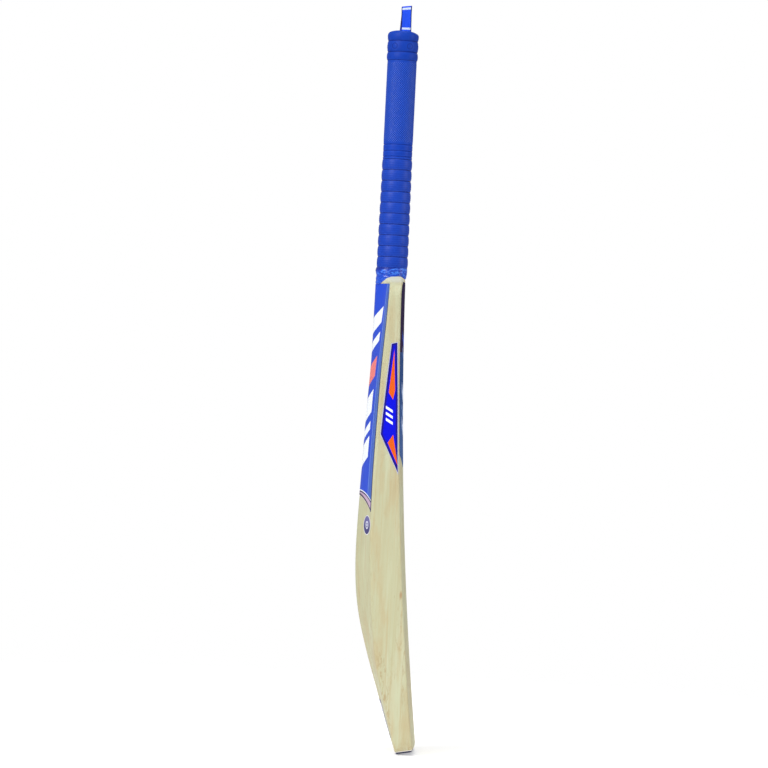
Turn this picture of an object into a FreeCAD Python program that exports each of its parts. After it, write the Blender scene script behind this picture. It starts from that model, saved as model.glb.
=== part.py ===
import FreeCAD, Part
import math
import os

# A full-size cricket bat, in millimetres. +Z runs up the handle's axis, -Y is the playing face
# and X is the blade's width. The origin is on the handle's axis at the middle of the handle,
# where the hands hold it. "Depth" below is a distance down the blade from the shoulders.

# Whole bat
LENGTH = 850.0
HANDLE_LENGTH = 290.0
BLADE_WIDTH = 108.0
HANDLE_TOP = HANDLE_LENGTH / 2
SHOULDER = HANDLE_TOP - HANDLE_LENGTH
TOE = HANDLE_TOP - LENGTH
BLADE_LENGTH = SHOULDER - TOE
HALF_WIDTH = BLADE_WIDTH / 2

# Blade: the face leans forward of the handle's axis and bows along its length
FACE_OFFSET = 15.9
FACE_LEAN = 0.0133
BOW_RADIUS = 4900.0
FACE_CROWN = 2.0
SPINE_ROUNDNESS = 0.25
# the slopes beside the spine are hollowed, and most of all near the shoulders
SLOPE_HOLLOW = 0.05
SHOULDER_HOLLOW = 0.42
HOLLOW_FADE = 160.0
# depth, thickness at the spine, thickness at the edges
STATIONS = (
    (-12.0, 33.8, 14.5),
    (18.0, 34.3, 15.9),
    (50.0, 35.2, 17.6),
    (100.0, 37.2, 21.8),
    (165.0, 42.8, 26.7),
    (215.0, 47.0, 30.9),
    (265.0, 52.0, 34.6),
    (320.0, 57.3, 37.5),
    (365.0, 59.2, 38.6),
    (400.0, 57.2, 38.9),
    (430.0, 52.6, 38.5),
    (455.0, 47.7, 37.2),
    (485.0, 41.2, 33.5),
    (512.0, 35.6, 29.0),
    (540.0, 29.3, 24.3),
    (572.0, 21.5, 19.8),
)

# Shoulders, seen from the front, and their cut-away top, seen from the side: where the top's
# flat part ends, and how far out and down the front's rounding and the back's slant then reach
SHOULDER_START = 15.5
SHOULDER_SLOPE = math.radians(16)
SHOULDER_RADIUS = 20.0
ARCH_FRONT = -9.5
ARCH_FRONT_REACH = 7.0
ARCH_BACK = -1.0
ARCH_BACK_REACH = 13.8
ARCH_BACK_DROP = 9.2
ARCH_BACK_BULGE = 0.2

# Toe
TOE_TILT = 10.0
TOE_CORNER = 20.0
TOE_GUARD = 2.0

# Handle: an oval stick of cane, wider from front to back than from side to side
OVAL = 0.95
CANE_RADIUS = 13.9
CANE_TOP = HANDLE_TOP - 1.5
BINDING = 0.5
GRIP_BORE = CANE_RADIUS + BINDING
CANES_PER_SLAB = 4
CANE_PITCH = 7.0
MIDDLE_SLAB = 8.8
RUBBER = 2.2

# Splice: the wedge of the handle let into the blade
SPLICE_HALF_WIDTH = 16.0
SPLICE_LENGTH = 155.0
SPLICE_TIP = 1.0
SPRING_DEPTH = 75.0

# Grip sleeve: rings at the top, a plain length, then ribs down to the flared base
GRIP_BOTTOM = -135.0
GRIP_RADIUS = 17.3
GRIP_BASE_RADIUS = 18.5
GRIP_LIP = 2.5
RING_CREST = 18.3
RING_PITCH = 10.6
RING_COUNT = 3
RIB_TOP = -6.5
RIB_COUNT = 10
RIB_HEIGHT = 0.8
COLLAR_RADIUS = 18.4
COLLAR_LAP = 9.2

# Ribbon loop at the end of the handle
RIBBON_WIDTH = 12.0
RIBBON = 0.7
RIBBON_CENTRE = -3.8
LOOP_X = -12.6
LOOP_BASE = HANDLE_TOP + 1.0
LOOP_HEIGHT = 28.4
LOOP_SHOULDER = 22.6
LOOP_HALF = 4.0
TAIL_LENGTH = 27.0

# Stickers
STICKER = 0.25
STICKER_MARGIN = 2.5
# depths of the top, of the lower end at the middle, and of the lower end at the flanks
BACK_STICKER = (9.4, 258.0, 277.5)
FACE_STICKER = (6.5, 225.0, 210.0)
# x, depth, radius
ROUNDEL = (-40.0, 293.5, 11.5)
# depth, half width, half height, corner radius
TOE_LABEL = (520.5, 25.0, 22.0, 5.0)
# depth, distance behind the face line
EDGE_STICKER = ((77.5, 4.4), (77.5, 12.0), (186.0, 24.2), (232.5, 3.4), (145.0, 3.0))
# plane that parts the face's stickers from the back's, as a distance behind the face line
PARTING = 9.0

# Lengths that only have to reach past the bat, or past one of its surfaces
FAR = 120.0
CLEAR = 10.0


def vec(x, y, z):
    return FreeCAD.Vector(x, y, z)


def height(depth):
    """Z of a point this far below the shoulders."""
    return SHOULDER - depth


def face_y(depth):
    """Y of the face's middle line."""
    return -(FACE_OFFSET + FACE_LEAN * depth + depth * depth / (2 * BOW_RADIUS))


def ridge(u, depth):
    """Height of the back between the edge (u = 1) and the spine (u = 0), from 0 to 1."""
    r = SPINE_ROUNDNESS
    slope = math.sqrt(1 + r * r) - math.sqrt(u * u + r * r)
    near_shoulder = min(1.0, max(0.0, 1 - depth / HOLLOW_FADE)) ** 2
    hollow = SLOPE_HOLLOW + (SHOULDER_HOLLOW - SLOPE_HOLLOW) * near_shoulder
    return slope / (math.sqrt(1 + r * r) - r) - hollow * math.sin(math.pi * abs(u))


def section(depth, spine, edge, grow):
    """Closed outline of the blade across its length, grown all round by the given amount."""
    z = height(depth)
    half = HALF_WIDTH + grow
    front = face_y(depth) - grow
    corner = front + FACE_CROWN
    back = face_y(depth) + edge + grow
    steps = [i / 8 - 1 for i in range(17)]
    crest = [vec(-u * half, back + (spine - edge) * ridge(u, depth), z) for u in steps]
    curve = Part.BSplineCurve()
    curve.interpolate(crest)
    face = Part.Arc(vec(-half, corner, z), vec(0, front, z), vec(half, corner, z))
    right = Part.LineSegment(vec(half, corner, z), crest[0])
    left = Part.LineSegment(crest[-1], vec(-half, corner, z))
    return Part.Wire([face.toShape(), right.toShape(), curve.toShape(), left.toShape()])


def blade_body(grow=0.0):
    """The blade's solid before its shoulders and toe are shaped."""
    return Part.makeLoft([section(*station, grow) for station in STATIONS], True, False)


def prism(edges, direction):
    """Solid from a closed list of edges, swept along a direction."""
    face = Part.Face(Part.Wire(Part.__sortEdges__(edges)))
    return face.extrude(direction)


def polygon(points):
    return Part.makePolygon(points + points[:1]).Edges


def shoulder_edges(margin):
    """Both shoulders as seen from the front, from the left flank to the right flank."""
    radius = SHOULDER_RADIUS - margin
    centre_x = HALF_WIDTH - SHOULDER_RADIUS
    top_x = centre_x + radius * math.sin(SHOULDER_SLOPE)
    start = SHOULDER - margin / math.cos(SHOULDER_SLOPE)
    top_z = start - (top_x - SHOULDER_START) * math.tan(SHOULDER_SLOPE)
    centre_z = top_z - radius * math.cos(SHOULDER_SLOPE)
    turn = (math.pi / 2 - SHOULDER_SLOPE) / 2
    edges = [Part.LineSegment(vec(-SHOULDER_START, -FAR, start), vec(SHOULDER_START, -FAR, start))]
    for side in (-1, 1):
        inner = vec(side * SHOULDER_START, -FAR, start)
        tangent = vec(side * top_x, -FAR, top_z)
        middle = vec(side * (centre_x + radius * math.cos(turn)), -FAR, centre_z + radius * math.sin(turn))
        flank = vec(side * (centre_x + radius), -FAR, centre_z)
        edges.append(Part.LineSegment(inner, tangent))
        edges.append(Part.Arc(tangent, middle, flank))
    return [edge.toShape() for edge in edges], flank


def shoulder_prism(margin, lower):
    """Everything inside the shoulders' outline and above a lower outline of (x, depth) points."""
    edges, flank = shoulder_edges(margin)
    points = [vec(-flank.x, -FAR, flank.z)]
    points += [vec(x, -FAR, height(depth)) for x, depth in lower]
    points.append(vec(flank.x, -FAR, flank.z))
    edges += Part.makePolygon(points).Edges
    return prism(edges, vec(0, 2 * FAR, 0))


def arch_prism():
    """Cuts away the top of the shoulders: rounded in front, and slanting down behind."""
    front_end = ARCH_FRONT - ARCH_FRONT_REACH
    front_low = SHOULDER - ARCH_FRONT_REACH
    bend = ARCH_FRONT_REACH * (1 - math.sqrt(0.5))
    back_end = ARCH_BACK + ARCH_BACK_REACH
    back_low = SHOULDER - ARCH_BACK_DROP
    bulged = (SHOULDER + back_low) / 2 + ARCH_BACK_BULGE
    front = Part.Arc(
        vec(-FAR, front_end, front_low),
        vec(-FAR, front_end + bend, SHOULDER - bend),
        vec(-FAR, ARCH_FRONT, SHOULDER),
    )
    top = Part.LineSegment(vec(-FAR, ARCH_FRONT, SHOULDER), vec(-FAR, ARCH_BACK, SHOULDER))
    back = Part.Arc(
        vec(-FAR, ARCH_BACK, SHOULDER),
        vec(-FAR, (ARCH_BACK + back_end) / 2, bulged),
        vec(-FAR, back_end, back_low),
    )
    below = [
        vec(-FAR, front_end, front_low),
        vec(-FAR, -FAR, front_low),
        vec(-FAR, -FAR, TOE - FAR),
        vec(-FAR, FAR, TOE - FAR),
        vec(-FAR, FAR, back_low),
        vec(-FAR, back_end, back_low),
    ]
    edges = [front.toShape(), top.toShape(), back.toShape()] + Part.makePolygon(below).Edges
    return prism(edges, vec(2 * FAR, 0, 0))


def toe_slab(lift, thickness):
    """A wide slab parallel to the toe, its underside this far above it."""
    slab = Part.makeBox(2 * FAR, 2 * FAR, thickness, vec(-FAR, -FAR, lift))
    slab.rotate(vec(0, 0, 0), vec(1, 0, 0), -TOE_TILT)
    slab.translate(vec(0, toe_back_y(), TOE))
    return slab


def toe_back_y():
    """Y of the toe's back corner, the lowest point of the bat."""
    (upper, _, thick), (lower, _, thin) = STATIONS[-2:]
    thickness = thick + (thin - thick) * (BLADE_LENGTH - upper) / (lower - upper)
    return face_y(BLADE_LENGTH) + thickness


def toe_prism():
    """Rounds the two corners of the toe, square to its tilted end."""
    tilt = math.radians(TOE_TILT)
    half, r = HALF_WIDTH + 1, TOE_CORNER
    low = TOE + (FAR + toe_back_y()) * math.tan(tilt)
    bend = r * (1 - math.sqrt(0.5))
    edges = [
        Part.LineSegment(vec(-half + r, -FAR, low), vec(half - r, -FAR, low)),
        Part.Arc(vec(half - r, -FAR, low), vec(half - bend, -FAR, low + bend), vec(half, -FAR, low + r)),
        Part.LineSegment(vec(half, -FAR, low + r), vec(half, -FAR, FAR)),
        Part.LineSegment(vec(half, -FAR, FAR), vec(-half, -FAR, FAR)),
        Part.LineSegment(vec(-half, -FAR, FAR), vec(-half, -FAR, low + r)),
        Part.Arc(vec(-half, -FAR, low + r), vec(-half + bend, -FAR, low + bend), vec(-half + r, -FAR, low)),
    ]
    return prism([e.toShape() for e in edges], vec(0, 2 * FAR, -2 * FAR * math.tan(tilt)))


def shaped_blade():
    """The whole outside of the blade, with its shoulders and toe, before splice and toe guard."""
    lower = [(-HALF_WIDTH, 2 * BLADE_LENGTH), (HALF_WIDTH, 2 * BLADE_LENGTH)]
    outside = blade_body().common(shoulder_prism(0.0, lower))
    outside = outside.common(arch_prism())
    outside = outside.common(toe_prism())
    return outside.cut(toe_slab(-FAR, FAR))


def oval(radius, bottom, top):
    """An oval rod on the handle's axis; the radius is the one from front to back."""
    ellipse = Part.Ellipse(vec(0, radius, bottom), vec(radius * OVAL, 0, bottom), vec(0, 0, bottom))
    return Part.Face(Part.Wire(ellipse.toShape())).extrude(vec(0, 0, top - bottom))


def splice_prism():
    """The V of the splice, as seen from the front, through the blade's whole thickness."""
    half = SPLICE_HALF_WIDTH + CLEAR * (SPLICE_HALF_WIDTH - SPLICE_TIP) / SPLICE_LENGTH
    points = [
        vec(-half, -FAR, SHOULDER + CLEAR),
        vec(half, -FAR, SHOULDER + CLEAR),
        vec(SPLICE_TIP, -FAR, height(SPLICE_LENGTH)),
        vec(-SPLICE_TIP, -FAR, height(SPLICE_LENGTH)),
    ]
    return prism(polygon(points), vec(0, 2 * FAR, 0))


def layer(low_y, high_y, bottom=TOE, top=HANDLE_TOP):
    """A slice of the handle between two planes parallel to its axis."""
    return Part.makeBox(2 * FAR, high_y - low_y, top - bottom, vec(-FAR, low_y, bottom))


def column(index):
    """The width that one cane of a slab fills; the outer two reach the handle's surface."""
    last = CANES_PER_SLAB - 1
    low = -FAR if index == 0 else (index - CANES_PER_SLAB / 2) * CANE_PITCH
    high = FAR if index == last else (index + 1 - CANES_PER_SLAB / 2) * CANE_PITCH
    return Part.makeBox(high - low, 2 * FAR, LENGTH + FAR, vec(low, -FAR, TOE - FAR / 2))


def handle_pieces(stick):
    """Canes, rubber springs and the veneers below them, as a dictionary of solids."""
    half = MIDDLE_SLAB / 2
    outer = half + RUBBER
    spring_end = height(SPRING_DEPTH)
    slabs = {"front": (-FAR, -outer), "middle": (-half, half), "back": (outer, FAR)}
    pieces = {}
    for slab, (low_y, high_y) in slabs.items():
        board = stick.common(layer(low_y, high_y))
        for i in range(CANES_PER_SLAB):
            pieces[f"cane_{slab}_{i + 1}"] = board.common(column(i))
    for side, (low_y, high_y) in {"front": (-outer, -half), "back": (half, outer)}.items():
        pieces[f"rubber_spring_{side}"] = stick.common(layer(low_y, high_y, bottom=spring_end))
        pieces[f"splice_veneer_{side}"] = stick.common(layer(low_y, high_y, top=spring_end))
    return pieces


def bump(bottom, top, valley, crest):
    """One rounded ring of the grip's outline, from its lower valley to its upper one."""
    middle = (bottom + top) / 2
    return Part.Arc(vec(0, valley[0], bottom), vec(0, crest, middle), vec(0, valley[1], top)).toShape()


def grip_outline():
    """The grip's outside from its base to its top, as edges at x = 0."""
    pitch = (RIB_TOP - GRIP_BOTTOM) / RIB_COUNT

    def valley(z):
        flare = max(0.0, (RIB_TOP - z) / (RIB_TOP - GRIP_BOTTOM)) ** 3
        return GRIP_RADIUS - RIB_HEIGHT + flare * (GRIP_BASE_RADIUS - GRIP_RADIUS)

    edges = []
    for i in range(RIB_COUNT):
        low, high = GRIP_BOTTOM + i * pitch, GRIP_BOTTOM + (i + 1) * pitch
        crest = (valley(low) + valley(high)) / 2 + RIB_HEIGHT
        edges.append(bump(low, high, (valley(low), valley(high)), crest))
    ring_top = HANDLE_TOP - GRIP_LIP
    ring_bottom = ring_top - RING_COUNT * RING_PITCH
    plain = [
        vec(0, valley(RIB_TOP), RIB_TOP),
        vec(0, GRIP_RADIUS, RIB_TOP + 2 * RIB_HEIGHT),
        vec(0, GRIP_RADIUS, ring_bottom),
    ]
    edges += Part.makePolygon(plain).Edges
    for i in range(RING_COUNT):
        low = ring_bottom + i * RING_PITCH
        edges.append(bump(low, low + RING_PITCH, (GRIP_RADIUS, GRIP_RADIUS), RING_CREST))
    bend = GRIP_LIP * math.sqrt(0.5)
    inner = GRIP_RADIUS - GRIP_LIP
    corner = vec(0, inner + bend, ring_top + bend)
    edges.append(Part.Arc(vec(0, GRIP_RADIUS, ring_top), corner, vec(0, inner, HANDLE_TOP)).toShape())
    return edges, inner


def grip_sleeve():
    """The rubber sleeve: its ringed and ribbed outside, made oval, bored to fit the bound handle."""
    edges, inner = grip_outline()
    base = GRIP_BASE_RADIUS - RIB_HEIGHT
    closing = [vec(0, inner, HANDLE_TOP), vec(0, 0, HANDLE_TOP), vec(0, 0, GRIP_BOTTOM), vec(0, base, GRIP_BOTTOM)]
    face = Part.Face(Part.Wire(Part.__sortEdges__(edges + Part.makePolygon(closing).Edges)))
    turned = face.revolve(vec(0, 0, 0), vec(0, 0, 1), 360)
    squeeze = FreeCAD.Matrix()
    squeeze.A11 = OVAL
    return turned.transformGeometry(squeeze).cut(oval(GRIP_BORE, GRIP_BOTTOM - 1, HANDLE_TOP + 1))


def collar(stick, outside):
    """Tape round the handle's root; at the back it laps down over the shoulder."""
    ring = oval(COLLAR_RADIUS, SHOULDER - 0.5, GRIP_BOTTOM)
    lap = oval(COLLAR_RADIUS, SHOULDER - COLLAR_LAP, SHOULDER)
    lap = lap.common(Part.makeBox(2 * FAR, FAR, LENGTH, vec(-FAR, ARCH_BACK, TOE)))
    bound = oval(GRIP_BORE, SHOULDER, HANDLE_TOP)
    return ring.fuse(lap).cut(stick).cut(outside).cut(bound).removeSplitter()


def ribbon_tail():
    """The ribbon's two ends, pressed flat round the handle under the grip."""
    bottom, top = HANDLE_TOP - TAIL_LENGTH, HANDLE_TOP
    shell = oval(GRIP_BORE + 2 * RIBBON, bottom, top).cut(oval(GRIP_BORE, bottom - 1, top + 1))
    low_y = RIBBON_CENTRE - RIBBON_WIDTH / 2
    return shell.common(Part.makeBox(FAR, RIBBON_WIDTH, FAR, vec(-FAR, low_y, bottom)))


def teardrop(half, bottom, base_half, top):
    """Closed outline of the loop, seen edge on."""
    y = RIBBON_CENTRE - RIBBON_WIDTH / 2

    def at(x, rise):
        return vec(LOOP_X + x, y, LOOP_BASE + rise)

    arc = Part.Arc(at(-half, LOOP_SHOULDER), at(0, top), at(half, LOOP_SHOULDER)).toShape()
    path = [at(-half, LOOP_SHOULDER), at(-base_half, bottom), at(base_half, bottom), at(half, LOOP_SHOULDER)]
    return prism([arc] + Part.makePolygon(path).Edges, vec(0, RIBBON_WIDTH, 0))


def hang_loop():
    outer = teardrop(LOOP_HALF, 0.0, RIBBON, LOOP_HEIGHT)
    inner = teardrop(LOOP_HALF - RIBBON, 3.0, 0.05, LOOP_HEIGHT - RIBBON)
    return outer.cut(inner)


def sticker(skin, outside, area):
    """A thin skin on the blade inside the given area."""
    return skin.common(area).cut(outside)


def parting_point(depth):
    return vec(-FAR, face_y(depth) + PARTING, height(depth))


def half_space(side):
    """The front (-1) or back (+1) half of the blade, on its side of the parting plane."""
    points = [vec(-FAR, side * 2 * FAR, SHOULDER), vec(-FAR, side * 2 * FAR, TOE)]
    points += [parting_point(BLADE_LENGTH * i / 4) for i in (4, 3, 2, 1, 0)]
    return prism(polygon(points), vec(2 * FAR, 0, 0))


def above(depth):
    return Part.makeBox(2 * FAR, 2 * FAR, LENGTH, vec(-FAR, -FAR, height(depth)))


def large_sticker_area(depths, side):
    """Area of the face's (-1) or back's (+1) large sticker, just inside the blade's outline."""
    top, middle, flank_end = depths
    flank = HALF_WIDTH - STICKER_MARGIN
    area = shoulder_prism(STICKER_MARGIN, [(-flank, flank_end), (0, middle), (flank, flank_end)])
    return area.common(half_space(side)).cut(above(top))


def roundel_area():
    x, depth, radius = ROUNDEL
    centre = parting_point(depth)
    centre.x = x
    return Part.makeCylinder(radius, FAR, centre, vec(0, 1, 0))


def toe_label_area():
    depth, half_x, half_z, corner = TOE_LABEL
    low = parting_point(depth) + vec(FAR - half_x, 0, -half_z)
    box = Part.makeBox(2 * half_x, FAR, 2 * half_z, low)
    upright = [e for e in box.Edges if abs(e.Vertexes[0].Y - e.Vertexes[1].Y) > 1]
    return box.makeFillet(corner, upright)


def edge_sticker_area(side):
    start = side * (HALF_WIDTH - CLEAR / 4)
    points = [vec(start, face_y(depth) + behind, height(depth)) for depth, behind in EDGE_STICKER]
    return prism(polygon(points), vec(side * CLEAR, 0, 0))


def stickers(outside):
    skin = blade_body(STICKER)
    areas = {
        "back_sticker": large_sticker_area(BACK_STICKER, 1),
        "back_roundel": roundel_area(),
        "edge_sticker_left": edge_sticker_area(-1),
        "edge_sticker_right": edge_sticker_area(1),
        "face_sticker": large_sticker_area(FACE_STICKER, -1),
        "toe_label": toe_label_area(),
    }
    return {name: sticker(skin, outside, area) for name, area in areas.items()}


def bat():
    """Every piece of the bat, by name."""
    outside = shaped_blade()
    splice = splice_prism()
    wedge = outside.common(splice)
    stick = oval(CANE_RADIUS, SHOULDER - ARCH_BACK_DROP - 0.5, CANE_TOP).fuse(wedge)
    tail = ribbon_tail()
    pieces = {
        "blade": outside.cut(splice).cut(toe_slab(-1, TOE_GUARD + 1)),
        "toe_guard": outside.common(toe_slab(-1, TOE_GUARD + 1)),
        "handle_binding": oval(GRIP_BORE, SHOULDER + 1, CANE_TOP).cut(oval(CANE_RADIUS, SHOULDER, HANDLE_TOP)),
        "grip": grip_sleeve().cut(tail),
        "grip_collar": collar(stick, outside),
        "hang_loop_tail": tail,
        "hang_loop": hang_loop(),
    }
    pieces.update(handle_pieces(stick))
    pieces.update(stickers(outside))
    return pieces


def main():
    os.makedirs("parts", exist_ok=True)
    for name, shape in bat().items():
        print(name, len(shape.Solids), shape.isValid(), round(shape.Volume))
        shape.exportStep(f"parts/{name}.step")


main()
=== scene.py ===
"""A full-size cricket bat: bowed willow blade with a spine, stickers, bound cane handle in a ribbed
blue rubber grip, glossy tape collar and a ribbon hang loop. Shapes are worked out in millimetres
in the row frame (+Z up the handle, -Y the playing face, X across the blade) and scaled once."""

import math
from functools import partialmethod

import bmesh
import bpy
import numpy as np
from mathutils import Matrix, Vector, noise


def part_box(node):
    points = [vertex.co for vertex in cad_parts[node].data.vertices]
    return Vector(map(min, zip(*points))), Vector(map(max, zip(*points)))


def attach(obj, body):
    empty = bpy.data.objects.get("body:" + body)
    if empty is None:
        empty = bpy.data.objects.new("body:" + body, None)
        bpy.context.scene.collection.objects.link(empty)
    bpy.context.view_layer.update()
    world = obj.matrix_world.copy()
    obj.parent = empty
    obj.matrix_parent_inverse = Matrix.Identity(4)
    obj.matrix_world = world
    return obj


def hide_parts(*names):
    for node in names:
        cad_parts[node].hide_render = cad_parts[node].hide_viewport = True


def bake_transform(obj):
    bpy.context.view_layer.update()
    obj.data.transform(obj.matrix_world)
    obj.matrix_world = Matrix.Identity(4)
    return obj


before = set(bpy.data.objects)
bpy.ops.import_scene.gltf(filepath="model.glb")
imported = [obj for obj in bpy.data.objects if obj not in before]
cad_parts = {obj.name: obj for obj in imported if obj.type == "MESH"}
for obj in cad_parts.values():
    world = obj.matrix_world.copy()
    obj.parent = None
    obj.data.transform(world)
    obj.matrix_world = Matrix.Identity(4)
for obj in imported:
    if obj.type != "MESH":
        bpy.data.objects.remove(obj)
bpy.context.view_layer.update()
MM = 0.001


def box_mm(node):
    """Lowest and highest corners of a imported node, in millimetres."""
    return [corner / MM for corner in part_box(node)]


# ---- sizes, in millimetres
grip_low, grip_high = box_mm("grip")
guard_low, guard_high = box_mm("toe_guard")
blade_high = box_mm("blade")[1]
HANDLE_TOP = grip_high.z
GRIP_BOTTOM = grip_low.z
TOE = guard_low.z
HALF = blade_high.x
SHOULDER = blade_high.z

FACE_OFFSET, FACE_LEAN, BOW_RADIUS, CROWN = 15.9, 0.0133, 4900.0, 2.0
SPINE_ROUNDNESS, SLOPE_HOLLOW, SHOULDER_HOLLOW, HOLLOW_FADE = 0.25, 0.05, 0.42, 160.0
# distance below the shoulders, thickness at the spine, thickness at the edges
STATIONS = (
    (-12, 33.8, 14.5), (18, 34.3, 15.9), (50, 35.2, 17.6), (100, 37.2, 21.8), (165, 42.8, 26.7),
    (215, 47, 30.9), (265, 52, 34.6), (320, 57.3, 37.5), (365, 59.2, 38.6), (400, 57.2, 38.9),
    (430, 52.6, 38.5), (455, 47.7, 37.2), (485, 41.2, 33.5), (512, 35.6, 29), (540, 29.3, 24.3),
    (572, 21.5, 19.8),
)
SHOULDER_START, SHOULDER_RADIUS = 15.5, 20.0
SHOULDER_SLOPE = math.radians(16)
TOE_CORNER, TOE_GUARD, TOE_TILT = 20.0, 2.0, math.radians(10)
# the shoulders' top is rounded in front, and slants down behind to where the tape laps
ARCH_FRONT, ARCH_FRONT_REACH, ARCH_BACK, ARCH_BACK_REACH, ARCH_BACK_DROP = -9.5, 7.0, -1.0, 13.8, 9.2
SPLICE_HALF, SPLICE_LENGTH = 16.0, 155.0

OVAL, GRIP_BORE, GRIP_RADIUS, GRIP_BASE = 0.95, 14.4, 17.25, 18.3
RIBBON_WIDTH, RIBBON_CENTRE, RIBBON = 12.0, -3.5, 0.6
LOOP_X, LOOP_RISE, LOOP_HALF = -12.6, 28.6, 3.6

# the back is slightly fuller just below the shoulders, over the canes
FULLER, FULLER_X, FULLER_REACH, FULLER_DOWN, FULLER_FADE = 0.42, 3.6, 3.4, 70, 40
# reach and depth of the edges' rounding, on the face and on the back
FACE_ROUND, BACK_ROUND, ROUND_STEPS = 2.0, 1.7, 8
# the same at the toe's end
TOE_ROUNDING = {-1: (5.5, 2.4), 1: (0.4, 0.3)}

SHOULDER_CX = HALF - SHOULDER_RADIUS
SHOULDER_TX = SHOULDER_CX + SHOULDER_RADIUS * math.sin(SHOULDER_SLOPE)
SHOULDER_CZ = (SHOULDER - (SHOULDER_TX - SHOULDER_START) * math.tan(SHOULDER_SLOPE)
               - SHOULDER_RADIUS * math.cos(SHOULDER_SLOPE))
SPLICE_TIP_Z = SHOULDER - SPLICE_LENGTH


# ---- mesh helpers

def smoothstep(t):
    t = np.clip(t, 0.0, 1.0)
    return t * t * (3 - 2 * t)


def add(name, data):
    """A new object in the scene."""
    obj = bpy.data.objects.new(name, data)
    bpy.context.scene.collection.objects.link(obj)
    return obj


def make_object(name, points, faces, material, sharp=38.0):
    """A closed mesh from points in millimetres, doubles merged, normals outward, smooth shaded."""
    mesh = bpy.data.meshes.new(name)
    mesh.from_pydata([Vector(p) * MM for p in points], [], faces)
    bm = bmesh.new()
    bm.from_mesh(mesh)
    bmesh.ops.remove_doubles(bm, verts=bm.verts, dist=2e-6)
    bmesh.ops.dissolve_degenerate(bm, dist=1e-7, edges=bm.edges)
    bmesh.ops.recalc_face_normals(bm, faces=bm.faces)
    bm.to_mesh(mesh)
    bm.free()
    mesh.shade_smooth()
    mesh.set_sharp_from_angle(angle=math.radians(sharp))
    mesh.materials.append(material)
    return add(name, mesh)


def grid_faces(rows, columns, start=0, wrap=False, flip=False):
    """Quads of a grid of points laid out row by row."""
    faces = []
    for r in range(rows - 1):
        for c in range(columns if wrap else columns - 1):
            a = start + r * columns + c
            b = start + r * columns + (c + 1) % columns
            quad = [a, b, b + columns, a + columns]
            faces.append(quad[::-1] if flip else quad)
    return faces


def slab_object(name, outer, inner, material, sharp=38.0):
    """A thin closed piece between two grids of the same size."""
    rows, columns = outer.shape[:2]
    count = rows * columns
    points = np.concatenate([outer.reshape(-1, 3), inner.reshape(-1, 3)])
    faces = grid_faces(rows, columns) + grid_faces(rows, columns, count, flip=True)
    rim = list(range(columns))
    rim += [r * columns + columns - 1 for r in range(1, rows)]
    rim += [(rows - 1) * columns + c for c in range(columns - 2, -1, -1)]
    rim += [r * columns for r in range(rows - 2, 0, -1)]
    for i, a in enumerate(rim):
        b = rim[(i + 1) % len(rim)]
        faces.append([b, a, a + count, b + count])
    return make_object(name, points, faces, material, sharp)


def tube_object(name, rings, material, sharp=38.0):
    """A closed ring-shaped piece: each ring goes round it, and the last ring joins the first."""
    rows, columns = rings.shape[:2]
    closed = np.concatenate([rings, rings[:1]])
    faces = grid_faces(rows + 1, columns, wrap=True)
    return make_object(name, closed.reshape(-1, 3), faces, material, sharp)


def place(obj, slot, *nodes, body="bat"):
    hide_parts(*nodes)
    if body:
        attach(obj, body)
    return obj


# ---- the blade's surfaces

def natural_spline(xs, ys):
    """A smooth curve through a few points, as a function that takes arrays."""
    xs, ys = np.array(xs, float), np.array(ys, float)
    h = np.diff(xs)
    n = len(xs)
    system, right = np.eye(n), np.zeros(n)
    for i in range(1, n - 1):
        system[i, i - 1:i + 2] = h[i - 1], 2 * (h[i - 1] + h[i]), h[i]
        right[i] = 6 * ((ys[i + 1] - ys[i]) / h[i] - (ys[i] - ys[i - 1]) / h[i - 1])
    bend = np.linalg.solve(system, right)

    def curve(x):
        x = np.asarray(x, float)
        i = np.clip(np.searchsorted(xs, x) - 1, 0, n - 2)
        a, b = (xs[i + 1] - x) / h[i], (x - xs[i]) / h[i]
        cubic = ((a ** 3 - a) * bend[i] + (b ** 3 - b) * bend[i + 1]) * h[i] ** 2 / 6
        return a * ys[i] + b * ys[i + 1] + cubic

    return curve


station_depths, spine_thickness, edge_thickness = zip(*STATIONS)
spine_at = natural_spline(station_depths, spine_thickness)
edge_at = natural_spline(station_depths, edge_thickness)


def face_line(z):
    d = SHOULDER - z
    return -(FACE_OFFSET + FACE_LEAN * d + d * d / (2 * BOW_RADIUS))


def ridge(u, z):
    """The back's height from edge (u = 1) to spine (u = 0): hollowed slopes and a rounded spine."""
    r = SPINE_ROUNDNESS
    top = math.sqrt(1 + r * r)
    near_shoulder = np.clip(1 - (SHOULDER - z) / HOLLOW_FADE, 0, 1) ** 2
    hollow = SLOPE_HOLLOW + (SHOULDER_HOLLOW - SLOPE_HOLLOW) * near_shoulder
    return (top - np.sqrt(u * u + r * r)) / (top - r) - hollow * np.sin(np.pi * u)


def sheet_y(side, x, z):
    """Y of the face (side -1) or the back (side 1), before its edges are rounded."""
    u = np.clip(np.abs(x) / HALF, 0, 1)
    if side < 0:
        return face_line(z) + CROWN * u * u
    edge = edge_at(SHOULDER - z)
    fuller = FULLER * np.exp(-((np.abs(x) - FULLER_X) / FULLER_REACH) ** 2)
    fuller = fuller * smoothstep((FULLER_DOWN - SHOULDER + z) / FULLER_FADE)
    return face_line(z) + edge + (spine_at(SHOULDER - z) - edge) * ridge(u, z) + fuller


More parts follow.
